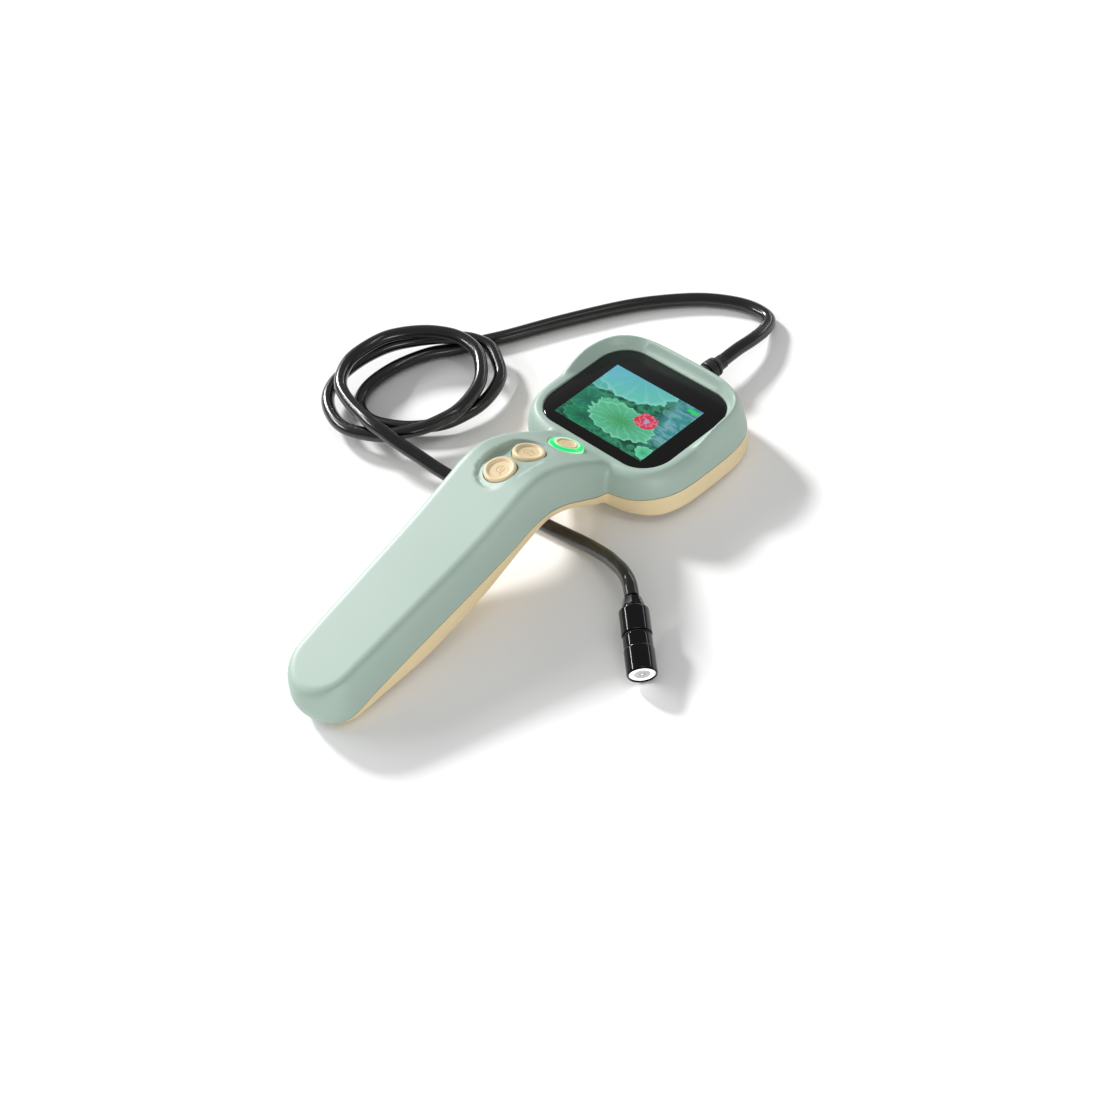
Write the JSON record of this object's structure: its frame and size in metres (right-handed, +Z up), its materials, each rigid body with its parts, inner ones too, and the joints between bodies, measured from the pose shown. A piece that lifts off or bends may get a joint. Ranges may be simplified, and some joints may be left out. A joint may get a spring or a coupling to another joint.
{
  "type": "handheld inspection camera with a screen head, an arched button neck, a grip and a semi-rigid camera cable",
  "caption": "Sage-green and cream handheld inspection camera with a glossy screen, sprung keys on an arched neck, and a black semi-rigid cable looped beside it to a lit probe.",
  "frame": {"origin": "on the floor under the middle of the housing: the centre of the bottom of the box round the housing, without the cable and probe", "axes": "+Z up; the part rests on z = 0; +Y from the grip towards the screen head and the cable outlet; +X to the right as the screen is read"},
  "size_m": [0.1895, 0.2292, 0.0379],
  "materials": {
    "sage_abs": "satin sage-green ABS",
    "cream_abs": "satin cream ABS",
    "key_cream": "satin cream keys",
    "black_glass": "gloss black printed glass",
    "display_panel": "lit colour display",
    "pressed_steel": "pressed steel sheet",
    "amber_film": "polyimide film",
    "flexible_circuit": "polyimide film",
    "board_laminate": "green solder mask",
    "chip_epoxy": "moulded epoxy",
    "plated_steel": "tin-plated steel",
    "switch_plate": "plated switch cover",
    "nylon_socket": "moulded nylon",
    "pouch_foil": "aluminised pouch foil",
    "grey_foam": "closed-cell foam",
    "lead_jacket": "soft lead jacket",
    "inner_lead_jacket": "soft lead jacket",
    "green_light_guide": "clear green light guide, lit",
    "screw_steel": "plated screws",
    "black_rubber": "moulded rubber",
    "black_cable_jacket": "glossy black jacket",
    "black_nickel": "black nickel on steel",
    "probe_seal_rubber": "rubber ring",
    "probe_window": "clear window over lit board",
    "lens_barrel": "black lens barrel",
    "led_board_white": "white solder mask and lit diodes"
  },
  "bodies": {
    "housing": {"front_shell": "sage_abs", "rear_shell": "cream_abs", "screen_glass": "black_glass", "display_panel": "display_panel", "display_bracket": "pressed_steel", "display_ribbon": "amber_film", "main_board": "board_laminate", "processor_chip": "chip_epoxy", "memory_chip": "chip_epoxy", "memory_card": "chip_epoxy", "card_socket": "plated_steel", "usb_port": "plated_steel", "battery_socket": "nylon_socket", "camera_socket": "nylon_socket", "battery_cell": "pouch_foil", "battery_pad": "grey_foam", "battery_lead": "lead_jacket", "light_ring": "green_light_guide", "power_switch": "switch_plate", "photo_switch": "switch_plate", "mode_switch": "switch_plate", "key_flex": "flexible_circuit", "case_screw_1": "screw_steel", "case_screw_2": "screw_steel", "case_screw_3": "screw_steel", "case_screw_4": "screw_steel", "case_screw_5": "screw_steel", "case_screw_6": "screw_steel", "cable_gland": "black_rubber", "inner_lead": "inner_lead_jacket", "cable": "black_cable_jacket", "probe_collar": "black_nickel", "probe_body": "black_nickel", "probe_seal": "probe_seal_rubber", "probe_nose": "black_nickel", "probe_window": "probe_window", "led_board": "led_board_white", "camera_module": "lens_barrel"},
    "power_key": {"power_button": "key_cream"},
    "photo_key": {"photo_button": "key_cream"},
    "mode_key": {"mode_button": "key_cream"}
  },
  "joints": [
    {"name": "power_press", "type": "slide", "parent": "housing", "child": "power_key", "axis": [0, -0.5133, -0.8582], "range_m": [0, 0.0008], "stiffness_N_per_m": 300},
    {"name": "photo_press", "type": "slide", "parent": "housing", "child": "photo_key", "axis": [0, -0.3564, -0.9343], "range_m": [0, 0.0008], "stiffness_N_per_m": 300},
    {"name": "mode_press", "type": "slide", "parent": "housing", "child": "mode_key", "axis": [0, 0.037, -0.9993], "range_m": [0, 0.0008], "stiffness_N_per_m": 300}
  ]
}
